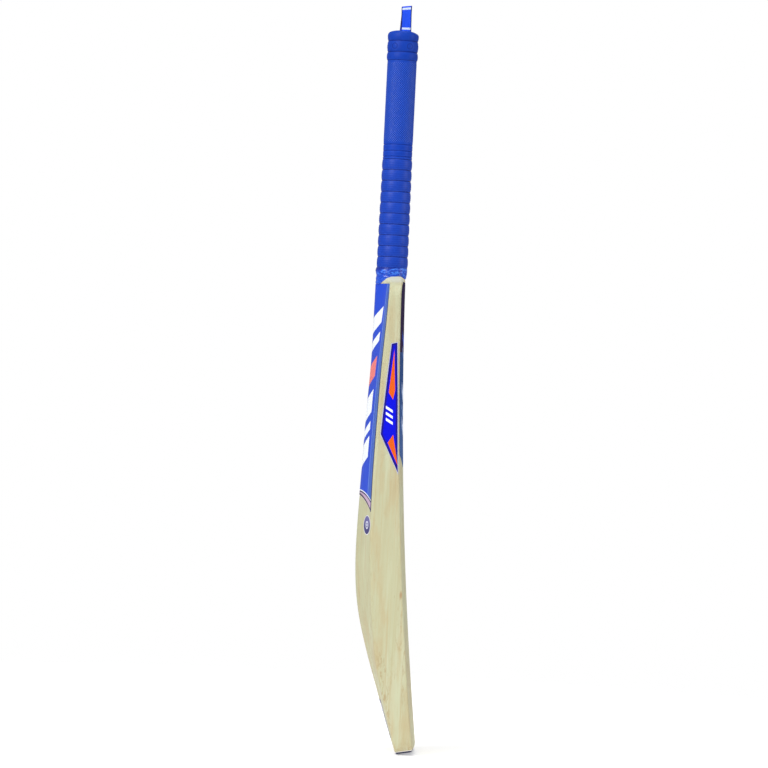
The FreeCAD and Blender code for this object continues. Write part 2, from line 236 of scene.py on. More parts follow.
def rounding(side, x):
    """How far an edge's rounding reaches inwards and how deep it is, large on top of the shoulders."""
    low = np.where(np.abs(x) < HALF, shoulder_z(x), SHOULDER - 40)
    drop = SHOULDER - low
    if side < 0:
        arch = smoothstep(1 - drop / ARCH_BACK_DROP)
        face = -sheet_y(-1, x, SHOULDER - ARCH_FRONT_REACH)
        return (FACE_ROUND + (ARCH_FRONT_REACH - FACE_ROUND) * arch,
                FACE_ROUND + (ARCH_FRONT + face - FACE_ROUND) * arch)
    back = sheet_y(1, x, low) - ARCH_BACK
    reach = np.clip(back / ARCH_BACK_REACH, 0, 1) * ARCH_BACK_DROP - drop
    depth = back - drop * ARCH_BACK_REACH / ARCH_BACK_DROP
    return BACK_ROUND + soft_plus(reach - BACK_ROUND), BACK_ROUND + soft_plus(depth - BACK_ROUND)


def soft_plus(t, soft=0.8):
    """The larger of t and 0, with the corner between them rounded."""
    return (t + np.sqrt(t * t + soft * soft)) / 2


def shoulder_z(x, margin=0.0):
    """Z of the shoulders' outline, drawn in by a margin."""
    x = np.abs(x)
    radius = SHOULDER_RADIUS - margin
    tangent = SHOULDER_CX + radius * math.sin(SHOULDER_SLOPE)
    start = SHOULDER - margin / math.cos(SHOULDER_SLOPE)
    straight = start - np.maximum(x - SHOULDER_START, 0) * math.tan(SHOULDER_SLOPE)
    across = np.clip(x - SHOULDER_CX, 0, radius)
    return np.where(x < tangent, straight, SHOULDER_CZ + np.sqrt(radius ** 2 - across ** 2))


def inset(x, z):
    """Distance inside the blade's outline, from its flanks and shoulders."""
    x = np.abs(x)
    straight = SHOULDER - (x - SHOULDER_START) * math.tan(SHOULDER_SLOPE) - z
    straight = straight * math.cos(SHOULDER_SLOPE)
    arc = SHOULDER_RADIUS - np.hypot(x - SHOULDER_CX, z - SHOULDER_CZ)
    turned = np.arctan2(x - SHOULDER_CX, np.maximum(z - SHOULDER_CZ, 1e-9)) > SHOULDER_SLOPE
    shoulder = np.where(turned, arc, straight)
    return np.where(z > SHOULDER_CZ, np.minimum(shoulder, HALF - x), HALF - x)


def surface_y(side, x, z, lift=0.0):
    """Y of the finished face or back, edges rounded, lifted off the wood by a small distance."""
    reach, depth = rounding(side, np.where(z > SHOULDER_CZ, x, HALF + 1.0))
    into = np.clip(1 - inset(x, z) / reach, 0, 1)
    drop = depth * (1 - np.sqrt(1 - into ** 2))
    return sheet_y(side, x, z) + side * (lift - drop)


def slot_x(z):
    """Half width of the splice's V."""
    return np.clip((z - SPLICE_TIP_Z) / SPLICE_LENGTH, 0, None) * SPLICE_HALF


TOE_BACK_Y = float(sheet_y(1, HALF, TOE))


def tilt_toe(side, x, y, z):
    """Tilts the end of the toe, which is cut square to the blade and not to the handle."""
    share = smoothstep(1 - (z - TOE) / 60)
    moved = z + (TOE_BACK_Y - y) * math.tan(TOE_TILT) * share
    return y + sheet_y(side, x, moved) - sheet_y(side, x, z), moved


def toe_outline(u):
    """Points (x, z) and outward normals along half of the toe, from its middle out, and how far
    each is past the toe guard, from 0 to 1."""
    x = HALF * u
    across = np.clip(x - (HALF - TOE_CORNER), 0, TOE_CORNER)
    arc = TOE + TOE_CORNER - np.sqrt(TOE_CORNER ** 2 - across ** 2)
    guard = arc < TOE + TOE_GUARD
    sine = np.where(guard, 0, across / TOE_CORNER)
    normal = np.stack([sine, -np.sqrt(1 - sine ** 2)], 1)
    point = np.stack([x, np.maximum(arc, TOE + TOE_GUARD)], 1)
    first_free = HALF - TOE_CORNER + math.sqrt(TOE_CORNER ** 2 - (TOE_CORNER - TOE_GUARD) ** 2)
    return point, normal, smoothstep((x - first_free) / 4)


def shoulder_outline(u):
    """Points (x, z) and outward normals along one shoulder, from the splice out to the flank."""
    x = SPLICE_HALF + (HALF - SPLICE_HALF) * u
    across = np.clip((x - SHOULDER_CX) / SHOULDER_RADIUS, 0, 1)
    angle = np.where(x > SHOULDER_TX, np.arcsin(across), SHOULDER_SLOPE)
    splice_angle = math.atan2(SPLICE_HALF, SPLICE_LENGTH)
    angle = splice_angle + (angle - splice_angle) * smoothstep(u / 0.3)
    normal = np.stack([np.sin(angle), np.cos(angle)], 1)
    return np.stack([x, shoulder_z(x)], 1), normal


def half_sheet(side, u, low_rows, high_rows):
    """One half of the face or back: its flat grid, then the strips that round its outer edges.
    Returns the points of the grid and of the strips, each strip running from splice to toe."""
    top, top_normal = shoulder_outline(u)
    toe, toe_normal, free = toe_outline(u)
    reach, depth = rounding(side, top[:, 0])
    flank_reach, flank_depth = rounding(side, HALF + 1.0)
    end_reach, end_depth = TOE_ROUNDING[side]
    toe_reach = end_reach + (flank_reach - end_reach) * free
    toe_depth = end_depth + (flank_depth - end_depth) * free
    straight = smoothstep((depth - 4) / 5) if side > 0 else 0 * depth
    top_in = top - top_normal * reach[:, None]
    toe_in = toe - toe_normal * toe_reach[:, None]
    v = np.linspace(0, 1, low_rows + 1)
    w = np.linspace(0, 1, high_rows + 1)[1:]

    def column(low, high):
        upper = SPLICE_TIP_Z + (high - SPLICE_TIP_Z) * w
        return np.concatenate([low + (SPLICE_TIP_Z - low) * v, upper])

    left_z = column(toe_in[0, 1], top_in[0, 1])
    right_z = column(toe_in[-1, 1], top_in[-1, 1])
    left = np.stack([slot_x(left_z), left_z], 1)
    left[-1] = top_in[0]
    right = np.stack([np.full_like(right_z, HALF - flank_reach), right_z], 1)
    flat = patch_grid(toe_in, top_in, left, right)
    sideways = np.tile([1.0, 0.0], (len(right) - 2, 1))
    base = np.concatenate([top_in, right[-2:0:-1], toe_in[::-1]])
    normals = np.concatenate([top_normal, sideways, toe_normal[::-1]])
    same = np.ones(len(right) - 2)
    reaches = np.concatenate([reach, same * flank_reach, toe_reach[::-1]])
    depths = np.concatenate([depth, same * flank_depth, toe_depth[::-1]])
    slant = np.concatenate([straight, 0 * same, 0 * toe_reach])
    strips = []
    for k in range(1, ROUND_STEPS + 1):
        share = k / ROUND_STEPS
        turn = math.pi / 2 * share
        out = math.sin(turn) * (1 - slant) + share * slant
        down = (1 - math.cos(turn)) * (1 - slant) + share * slant
        strips.append((base + normals * (reaches * out)[:, None], depths * down))
    return flat, strips


def patch_grid(bottom, top, left, right):
    """A Coons patch whose rows keep the spacing of its left and right lines."""
    rise = (left[:, 1] - left[0, 1]) / (left[-1, 1] - left[0, 1])
    u = ((bottom[:, 0] - bottom[0, 0]) / (bottom[-1, 0] - bottom[0, 0]))[None, :, None]
    v = rise[:, None, None]
    across = left[:, None] * (1 - u) + right[:, None] * u
    up = bottom[None] * (1 - v) + top[None] * v
    ends = ((bottom[0] * (1 - u) + bottom[-1] * u) * (1 - v)
            + (top[0] * (1 - u) + top[-1] * u) * v)
    return across + up - ends


def raise_points(side, flat, drop=0.0):
    """Lifts (x, z) points on to the face or back and tilts the toe."""
    x, z = flat[..., 0], flat[..., 1]
    y = sheet_y(side, x, z) - side * drop
    y, z = tilt_toe(side, x, y, z)
    return np.stack([x, y, z], -1)


def build_blade(material):
    """The willow, with its splice slot: two mirrored halves that share the line below the splice."""
    s = np.linspace(0, 1, 27)
    u = 1 - (1 - s) ** 2
    low_rows, high_rows = 90, 44
    sheets, strips = {}, {}
    for side in (-1, 1):
        flat, rings = half_sheet(side, u, low_rows, high_rows)
        sheets[side] = raise_points(side, flat)
        strips[side] = [raise_points(side, ring, drop) for ring, drop in rings]
    band = [strips[-1][-1] + (strips[1][-1] - strips[-1][-1]) * t for t in (0.2, 0.4, 0.6, 0.8)]
    points, faces = [], []
    for mirror in (1, -1):
        add_half(points, faces, sheets, strips, band, low_rows, np.array([mirror, 1, 1]))
    return make_object("willow_blade", np.concatenate(points), faces, material, sharp=50)


def add_half(points, faces, sheets, strips, band, low_rows, mirror):
    start = sum(len(p) for p in points)
    rows, columns = sheets[1].shape[:2]
    grid = rows * columns
    index = np.arange(grid).reshape(rows, columns)
    perimeter = list(index[-1]) + list(index[-2:0:-1, -1]) + list(index[0, ::-1])
    loops = [[start + i for i in perimeter]]
    chain = strips[-1] + band + strips[1][::-1]
    base = start + 2 * grid
    for n, ring in enumerate(chain):
        loops.append([base + n * len(ring) + i for i in range(len(ring))])
    loops.append([start + grid + i for i in perimeter])
    points += [sheets[side].reshape(-1, 3) * mirror for side in (-1, 1)]
    points += [ring * mirror for ring in chain]
    faces += grid_faces(rows, columns, start)
    faces += grid_faces(rows, columns, start + grid, flip=True)
    for near, far in zip(loops, loops[1:]):
        for i in range(len(near) - 1):
            faces.append([near[i], near[i + 1], far[i + 1], far[i]])
    left = index[:, 0]
    for r in range(low_rows, rows - 1):
        a, b = left[r], left[r + 1]
        faces.append([start + a, start + b, start + grid + b, start + grid + a])
    faces.append([loop[0] for loop in loops])


# ---- stickers and toe

FILM_LIFT, FILM = 0.2, 0.16
# the back sticker's lower edge: its distance below the shoulders, and how it drops to the flanks
BACK_LOW, BACK_LOW_DROP, BACK_LOW_POWER, BACK_HALF = 259.5, 18, 1.9, 51.5
FACE_LOW_RISE = 16


def columns_across(half, count=47, crowd=1.8):
    """X positions that crowd towards the flanks, where outlines curve."""
    s = np.linspace(-1, 1, count)
    return half * np.sign(s) * (1 - (1 - np.abs(s)) ** crowd)


def sticker_sheet(name, side, x, top, bottom, rows, material, lift=FILM_LIFT, thickness=FILM):
    """A skin on the face or back, between an upper and a lower line given at each x."""
    t = np.linspace(0, 1, rows)[:, None]
    z = bottom[None] * (1 - t) + top[None] * t
    across = np.broadcast_to(x, z.shape)
    grids = []
    for height in (lift, lift - thickness):
        y = surface_y(side, across, z, height)
        y, moved = tilt_toe(side, across, y, z)
        grids.append(np.stack([across, y, moved], -1))
    return slab_object(name, grids[0], grids[1], material)


def upper_sticker(name, node, side, lower_edge, rows, material, **film):
    """A sticker that starts at the shoulders; lower_edge gives Z from the distance to the spine."""
    high = box_mm(node)[1]
    x = columns_across(high.x)
    top = np.minimum(high.z, shoulder_z(x, HALF - high.x))
    return sticker_sheet(name, side, x, top, lower_edge(np.abs(x)), rows, material, **film)


def build_back_sticker(material):
    def lower_edge(x):
        return SHOULDER - (BACK_LOW + BACK_LOW_DROP * (x / BACK_HALF) ** BACK_LOW_POWER)

    return upper_sticker("back_print", "back_sticker", 1, lower_edge, 130, material,
                         lift=0.45, thickness=0.4)


def build_face_sticker(material):
    low, high = box_mm("face_sticker")

    def lower_edge(x):
        return low.z + (x / high.x) * FACE_LOW_RISE

    return upper_sticker("face_print", "face_sticker", -1, lower_edge, 110, material)


def build_round_sticker(material):
    low, high = box_mm("back_roundel")
    centre, radius = (low + high) / 2, (high.x - low.x) / 2
    t = np.linspace(-1, 1, 33)
    x = centre.x + radius * np.sin(t * math.pi / 2) * 0.9999
    chord = np.sqrt(np.maximum(radius ** 2 - (x - centre.x) ** 2, 1e-4))
    return sticker_sheet("round_print", 1, x, centre.z + chord, centre.z - chord, 25, material)


def build_toe_label(material):
    low, high = box_mm("toe_label")
    half, corner = (high.x - low.x) / 2, 5.0
    x = columns_across(half, 41, 1.6)
    across = np.clip(np.abs(x) - (half - corner), 0, corner)
    cut = corner - np.sqrt(corner ** 2 - across ** 2)
    return sticker_sheet("low_label", 1, x, high.z - cut, low.z + cut, 30, material)


# the kite on each edge and its wedges: distances below the shoulders and behind the face line
WEDGES = ([(87.0, 8.2), (134.0, 6.8), (145.0, 9.2), (137.0, 14.3)],
          [(186.0, 9.0), (222.0, 3.8), (195.5, 15.5)])
KITE = (77.5, 4.4), (79.3, 12.0), (186.0, 24.2), (232.5, 3.4), (145.0, 3.0)


def build_edge_sticker(name, side, material):
    (top_d, near), (top_far_d, top_far), (wide_d, wide_far), (tip_d, tip_far), (low_d, low) = KITE
    d = np.concatenate([np.linspace(top_d, wide_d, 54), np.linspace(wide_d, tip_d, 28)[1:]])
    far = np.interp(d, [top_d, wide_d, tip_d], [top_far, wide_far, tip_far])
    t = np.linspace(0, 1, 13)[None]
    slant = (top_far_d - top_d) * np.clip(1 - (d - top_d) / 25, 0, 1)
    z = SHOULDER - d[:, None] - slant[:, None] * t
    nearest = np.interp(d, [top_d, low_d, tip_d], [near, low, tip_far])[:, None]
    behind = nearest + (far[:, None] - nearest) * t
    y = face_line(z) + behind
    outer, inner = (np.stack([0 * y + side * (HALF + height), y, z], -1)
                    for height in (FILM_LIFT, FILM_LIFT - FILM))
    return slab_object(name, outer, inner, material)


def build_toe_guard(material):
    """The strip across the end of the toe, its edges rounded over."""
    half = guard_high.x - 0.2
    rings = []
    for x in columns_across(half, 61):
        across = max(abs(x) - (HALF - TOE_CORNER), 0)
        low = TOE + TOE_CORNER - math.sqrt(TOE_CORNER ** 2 - across ** 2)
        high = TOE + TOE_GUARD
        front = float(sheet_y(-1, x, TOE)) + TOE_ROUNDING[-1][1]
        back = float(sheet_y(1, x, TOE)) - 0.2
        r = (high - low) * 0.75
        ring = [(front, high), (front, low + r)]
        turns = [math.pi / 2 * k / 5 for k in range(1, 6)]
        ring += [(front + 1.6 * r * (1 - math.cos(a)), low + r * (1 - math.sin(a))) for a in turns]
        ring += [(back - 0.8 * r * (1 - math.cos(a)), low + r * (1 - math.sin(a))) for a in turns[::-1]]
        ring += [(back, low + r), (back, high)]
        rings.append([(x, y, z + (TOE_BACK_Y - y) * math.tan(TOE_TILT)) for y, z in ring])
    rings = np.array(rings)
    rows, columns = rings.shape[:2]
    faces = grid_faces(rows, columns, wrap=True)
    faces.append(list(range(columns)))
    faces.append(list(range((rows - 1) * columns, rows * columns))[::-1])
    return make_object("toe_strip", rings.reshape(-1, 3), faces, material)


# ---- grip, collar and ribbon

# valleys between the rings, from the lowest up; the topmost ring runs into the rounded end
RINGS = (109.9, 119.9, 133.0)
RING_LOW, TOP_CREST = RINGS[0], 139.2
RIB_TOP, RIB_COUNT, RIB_HEIGHT = -6.5, 10, 1.2
RIB_PITCH = (RIB_TOP - GRIP_BOTTOM) / RIB_COUNT
FINE_LINES = (10.5, 3.2, -3.6)
PLAIN_LOW, PLAIN_HIGH = 13.5, RING_LOW - 2.0
DIAMONDS = 40
# the tape: its bore, how far out it laps, its lap in front, and the pitch of its turns
COLLAR_BORE, COLLAR_LAP_Y, FRONT_LAP, TAPE_PITCH = 14.5, 18.0, 2.2, 5.5
# where the ribbon's pale bars start, along its length from the end that is tucked in outside
RIBBON_BARS, BAR_LENGTH, RIBBON_TUCK = (27.2, 50.6, 79.0), 2.4, 26


def pillow(s, power=3.0):
    """A rounded rib over s from 0 to 1."""
    return np.clip(1 - np.abs(2 * s - 1) ** power, 0, 1) ** 0.6


def grip_radius(z, angle):
    """The grip's outside, front to back, with its ribs, rings, fine lines and diamond pattern."""
    flare = np.clip((RIB_TOP - z) / (RIB_TOP - GRIP_BOTTOM), 0, 1) ** 1.6 * (GRIP_BASE - GRIP_RADIUS)
    rib = np.mod((z - GRIP_BOTTOM) / RIB_PITCH, 1)
    ribs = RIB_HEIGHT * (pillow(rib, 2.3) - 1) - 0.12 * (0.5 + 0.5 * np.cos(10 * np.pi * rib)) ** 2
    ribs = ribs + 0.25 + 0.35 * np.clip((z - GRIP_BOTTOM) / 60, 0, 1)
    radius = GRIP_RADIUS + flare + np.where(z < RIB_TOP, ribs, 0)
    for low, high in zip(RINGS, RINGS[1:] + (2 * TOP_CREST - RINGS[-1],)):
        inside = (z >= low) & (z < high)
        radius = radius + np.where(inside, 1.35 * pillow((z - low) / (high - low), 2.2) - 0.2, 0)
    for line in FINE_LINES:
        radius = radius - 0.45 * np.exp(-((z - line) / 0.55) ** 2)
    fade = smoothstep((z - PLAIN_LOW) / 2) * smoothstep((PLAIN_HIGH - z) / 2)
    pitch = 2 * np.pi * GRIP_RADIUS / DIAMONDS
    diamonds = np.cos(DIAMONDS * angle) * np.cos(2 * np.pi * z / pitch)
    radius = radius + fade * 0.27 * diamonds
    around = (np.mod(angle + np.pi / 6, np.pi / 3) - np.pi / 6) * GRIP_RADIUS
    spot = np.hypot(around, z - (RINGS[1] + RINGS[2]) / 2)
    return radius - 0.35 * np.exp(-((spot - 3.2) / 0.6) ** 2)


def oval_ring(radius, z, angle):
    """A ring round the handle, slightly narrower from side to side."""
    x = OVAL * radius * np.sin(angle)
    return np.stack([x, radius * np.cos(angle), np.broadcast_to(z, x.shape)], -1)


def build_grip(material):
    angle = np.linspace(0, 2 * np.pi, 200, endpoint=False)
    rows = np.concatenate([
        np.arange(GRIP_BOTTOM + 1.2, PLAIN_LOW, 0.62),
        np.arange(PLAIN_LOW, RING_LOW, 0.66),
        np.arange(RING_LOW, TOP_CREST, 0.6),
    ])
    rings = [oval_ring(GRIP_BORE + 0.5, GRIP_BOTTOM + 0.4, angle)]
    base = grip_radius(GRIP_BOTTOM + 1.2, angle)
    for turn in (0.0, 0.175 * math.pi, 0.35 * math.pi):
        low = GRIP_BOTTOM + 1.1 * (1 - math.cos(turn))
        rings.append(oval_ring(base - (1 - math.sin(turn)), low, angle))
    rings += [oval_ring(grip_radius(z, angle), z, angle) for z in rows]
    crest = grip_radius(TOP_CREST, angle)
    sink = 1.2 * np.abs(np.cos(angle)) ** 3 + 1.2 * np.clip(-np.cos(angle), 0, 1) ** 2
    for turn in np.linspace(0, math.pi / 2, 13)[1:]:
        radius = GRIP_BORE + 0.6 + (crest - GRIP_BORE - 0.6) * math.cos(turn)
        height = TOP_CREST + (HANDLE_TOP - TOP_CREST - sink) * math.sin(turn)
        rings.append(oval_ring(radius, height, angle))
    for z in (HANDLE_TOP - sink - 0.5, HANDLE_TOP - 8, 0.0, GRIP_BOTTOM + 8):
        rings.append(oval_ring(GRIP_BORE, z, angle))
    return tube_object("rubber_grip", np.array(rings), material)


def build_collar(material):
    """Wound tape: wrinkled, with overlapping turns, lapping down over the shoulder at the back."""
    angle = np.linspace(0, 2 * np.pi, 128, endpoint=False)
    toward_back = smoothstep(np.cos(angle) / 0.7 + 0.1)
    top = GRIP_BOTTOM + 0.2
    lap = (COLLAR_LAP_Y * np.cos(angle) - ARCH_BACK) / ARCH_BACK_REACH
    lap = lap - soft_plus(lap - 1, 0.15) + soft_plus(-lap, 0.15)
    front_lap = FRONT_LAP * smoothstep((-COLLAR_LAP_Y * np.cos(angle) - 12.0) / 4.0)
    ragged = 0.15 * np.sin(5 * angle + 1) + 0.1 * np.sin(11 * angle)
    bottom = SHOULDER - 0.3 - ARCH_BACK_DROP * lap - front_lap + ragged
    spine = float(sheet_y(1, 0.0, SHOULDER - 4.0))
    face = -float(sheet_y(-1, 0.0, SHOULDER - 1.0))
    rings = []
    for t in np.linspace(0, 1, 56):
        z = bottom + (top - bottom) * t
        squeeze = smoothstep((SHOULDER + 4 - z) / 8)
        round_y = 17.7 + (spine - 17.5) * squeeze * toward_back
        round_y = round_y + (face - 17.0) * squeeze * smoothstep(-np.cos(angle))
        round_y = round_y + 1.3 * toward_back * np.exp(-((z - GRIP_BOTTOM + 3.5) / 3.5) ** 2)
        wrinkle = np.array([tape_wrinkle(a, zz) for a, zz in zip(angle, z)])
        edge_roll = 0.5 * (1 - smoothstep(t / 0.06)) + 0.3 * (1 - smoothstep((1 - t) / 0.05))
        x = (16.9 + 0.3 * t + wrinkle - edge_roll) * np.sin(angle)
        y = (round_y + 0.3 * t + wrinkle - edge_roll) * np.cos(angle)
        rings.append(np.stack([x, y, z], -1))
    rings += [oval_ring(COLLAR_BORE, z, angle) for z in (top, bottom)]
    return tube_object("collar_tape", np.array(rings), material, sharp=60)


def tape_wrinkle(angle, z):
    """Relief of stretched tape: slanting creases and the step of each overlapping turn."""
    around = Vector((math.sin(angle), math.cos(angle), 0))
    crease = noise.noise(around * 2.6 + Vector((0, 0, z * 0.55)))
    fine = noise.noise(around * 7.0 + Vector((3.1, 0, z * 1.3)))
    turn = ((z - GRIP_BOTTOM) / TAPE_PITCH + angle / (2 * math.pi)) % 1
    step = 0.22 * (1 - smoothstep(turn / 0.12)) + 0.18 * turn
    return 0.42 * crease + 0.16 * fine + float(step)


def ribbon_path():
    """Centre line of the ribbon, seen edge on: up from under the grip, over and back down.
    Returns (offset from the fold's middle, z) points; the first leg is the outer one."""
    gap = RIBBON * 0.58
    tail = np.linspace(HANDLE_TOP - RIBBON_TUCK, HANDLE_TOP, 22)
    rise = np.linspace(0, 1, 40)[1:]
    leg_z = HANDLE_TOP + rise * (LOOP_RISE - LOOP_HALF)
    leg = gap + (LOOP_HALF - gap) * smoothstep(rise) ** 0.9
    turn = np.linspace(0, math.pi, 26)[1:-1]
    arc_x = -LOOP_HALF * np.cos(turn)
    arc_z = HANDLE_TOP + LOOP_RISE - LOOP_HALF + LOOP_HALF * np.sin(turn) * 1.02
    up = np.concatenate([np.stack([0 * tail - gap, tail], 1), np.stack([-leg, leg_z], 1)])
    return np.concatenate([up, np.stack([arc_x, arc_z], 1), up[::-1] * np.array([-1, 1])])


def build_ribbon(material):
    """The hang loop's ribbon, flat sides across the handle, curved round it where it is tucked in."""
    path = ribbon_path()
    across = np.linspace(-0.5, 0.5, 15) * RIBBON_WIDTH
    steps = np.linalg.norm(np.diff(path, axis=0), axis=1)
    along = np.concatenate([[0], np.cumsum(steps)])
    tangent = np.gradient(path, axis=0)
    tangent /= np.linalg.norm(tangent, axis=1)[:, None]
    normal = np.stack([-tangent[:, 1], tangent[:, 0]], 1)
    height = path[:, 1:] - HANDLE_TOP
    share = np.clip(height / LOOP_RISE, 0, 1)
    second = np.linspace(0, 1, len(path))[:, None] > 0.5
    slip = np.where(second, 1.6 * (1 - share) ** 1.5, 0)
    hold = 1 - smoothstep((height + 3) / 9)
    curved = -OVAL * np.sqrt((GRIP_BORE + 0.75) ** 2 - (RIBBON_CENTRE + across + slip) ** 2)
    flat = LOOP_X + 0.12 * np.sin(across * 0.8 + share * 3)
    belly = 0.25 * (1 - (2 * across / RIBBON_WIDTH) ** 2) * share
    grids = []
    for half in (-RIBBON / 2, RIBBON / 2):
        edge = path + normal * half
        grids.append(np.stack([curved * hold + flat * (1 - hold) + edge[:, :1] - belly,
                               RIBBON_CENTRE + across + slip + 0.5 * share,
                               edge[:, 1:] - 0.13 * across * share], -1))
    obj = slab_object("ribbon_loop", grids[0], grids[1], material, sharp=60)
    store_weave(obj, along, across)
    return obj, float(along[-1])


def store_weave(obj, along, across):
    """Keeps each point's place on the flat ribbon, so that the weave bends with it."""
    layer = obj.data.attributes.new("weave", "FLOAT_VECTOR", "POINT")
    flat = np.zeros((len(along), len(across), 3))
    flat[..., 0] = across
    flat[..., 1] = along[:, None]
    both = np.concatenate([flat.reshape(-1, 3)] * 2)
    if len(obj.data.vertices) == len(both):
        layer.data.foreach_set("vector", both.astype(np.float32).ravel())


# ---- materials

WHITE, CORAL, ORANGE, NAVY = (236, 240, 246), (228, 122, 118), (220, 92, 26), (24, 20, 76)
FACE_PALE, ROUNDEL_PALE, LABEL_FRAME = (178, 192, 222), (222, 224, 238), (66, 62, 112)


class Shade:
    """A procedural material, built up from small steps. Colours are sRGB, 0 to 255."""

    def __init__(self, name, roughness, base=None, **sockets):
        self.material = bpy.data.materials.new(name)
        self.material.use_nodes = True
        self.nodes = self.material.node_tree.nodes
        self.links = self.material.node_tree.links
        self.shader = self.nodes["Principled BSDF"]
        for socket, value in {"Roughness": roughness, **sockets}.items():
            self.shader.inputs[socket.replace("_", " ")].default_value = value
        self.base = base and colour(base)[:3]
        metres = self.node("TexCoord").outputs["Object"]
        self.place = self.vector("MULTIPLY", metres, (1000, 1000, 1000))
        self.x, self.y, self.z = self.node("SeparateXYZ", Vector=self.place).outputs

    def put(self, value, socket):
        if isinstance(value, bpy.types.NodeSocket):
            self.links.new(value, socket)
        else:
            socket.default_value = colour(value) if socket.type == "RGBA" else value

    def node(self, kind, operation=None, **inputs):
        """A new node with its inputs filled in; an underscore stands for a space in a name."""
        node = self.nodes.new("ShaderNode" + kind)
        if operation:
            node.operation = operation
        for name, value in inputs.items():
            self.put(value, node.inputs[name.replace("_", " ")])
        return node

    def math(self, kind, a, b=0.0, c=0.0):
        node = self.node("Math", kind)
        for value, socket in zip((a, b, c), node.inputs):
            self.put(value, socket)
        return node.outputs[0]

    plus = partialmethod(math, "ADD")
    minus = partialmethod(math, "SUBTRACT")
    times = partialmethod(math, "MULTIPLY")
    times_plus = partialmethod(math, "MULTIPLY_ADD")

    def vector(self, kind, a, b):
        node = self.node("VectorMath", kind)
        self.put(a, node.inputs[0])
        self.put(b, node.inputs[1])
        return node.outputs[0]

    def noise(self, scale, detail=2.0, rough=0.5, size=1.0):
        """Noise from 0 to 1; scale stretches it along X, Y and Z, per millimetre."""
        where = self.vector("MULTIPLY", self.place, scale)
        node = self.node("TexNoise", Vector=where, Scale=size, Detail=detail, Roughness=rough)
        return node.outputs["Fac"]

    def above(self, value, threshold, soft=0.25):
        """1 where value is over threshold, 0 under it, with a soft step."""
        node = self.node("MapRange", Value=value, From_Min=threshold - soft, From_Max=threshold + soft)
        node.interpolation_type = "SMOOTHSTEP"
        return node.outputs[0]

    def below(self, value, threshold, soft=0.25):
        return self.minus(1.0, self.above(value, threshold, soft))

    def between(self, value, low, high, soft=0.25):
        return self.times(self.above(value, low, soft), self.below(value, high, soft))

    def mix(self, share, a, b):
        node = self.node("Mix")
        node.data_type = "RGBA"
        for value, name in ((share, "Factor"), (a, "A"), (b, "B")):
            self.put(value, node.inputs[name])
        return node.outputs["Result"]

    def paint(self, share, tint, strength=None):
        """Covers the base colour with a tint where share is 1, or in part for a strength below 1."""
        if strength is not None:
            share = self.times(share, strength)
        self.base = self.mix(share, self.base, tint)

    def scale(self, share, low, high):
        """Multiplies the base colour by low where share is 0 and by high where it is 1."""
        factor = self.plus(low, self.times(share, high - low))
        self.base = self.node("VectorMath", "SCALE", Vector=self.base, Scale=factor).outputs[0]

    def roughen(self, share, low, span):
        """Roughness of low where share is 0 and low + span where it is 1."""
        self.put(self.plus(low, self.times(share, span)), self.shader.inputs["Roughness"])

    def inside(self, u, v, corners):
        """Distance inside a convex outline of (u, v) corners, given anticlockwise."""
        depth = None
        for (u0, v0), (u1, v1) in zip(corners, corners[1:] + corners[:1]):
            length = math.hypot(u1 - u0, v1 - v0)
            nu, nv = (v0 - v1) / length, (u1 - u0) / length
            edge = self.times_plus(v, nv, self.times(u, nu))
            edge = self.minus(edge, nu * u0 + nv * v0)
            depth = edge if depth is None else self.math("MINIMUM", depth, edge)
        return depth

    def bump(self, height, distance, strength):
        node = self.node("Bump", Strength=strength, Distance=distance * MM, Height=height)
        self.links.new(node.outputs[0], self.shader.inputs["Normal"])

    def finish(self):
        self.put(self.base, self.shader.inputs["Base Color"])
        return self.material


def colour(rgb):
    """Linear RGBA from sRGB, 0 to 255."""
    parts = [c / 255 for c in rgb]
    return [c / 12.92 if c < 0.04045 else ((c + 0.055) / 1.055) ** 2.4 for c in parts] + [1.0]


GROWTH_RING, TWINE_PITCH, WEFT_PITCH, WARP_PITCH = 8.5, 0.9, 0.55, 0.5
# middle and radius of each pin knot, a long oval along the grain
KNOTS = (((-54, -31, -518), 1.5), ((22, -47, -610), 1.2), ((31, 0, -560), 1.3))


def depth_of(s):
    """Distance below the shoulders, in millimetres."""
    return s.minus(SHOULDER, s.z)


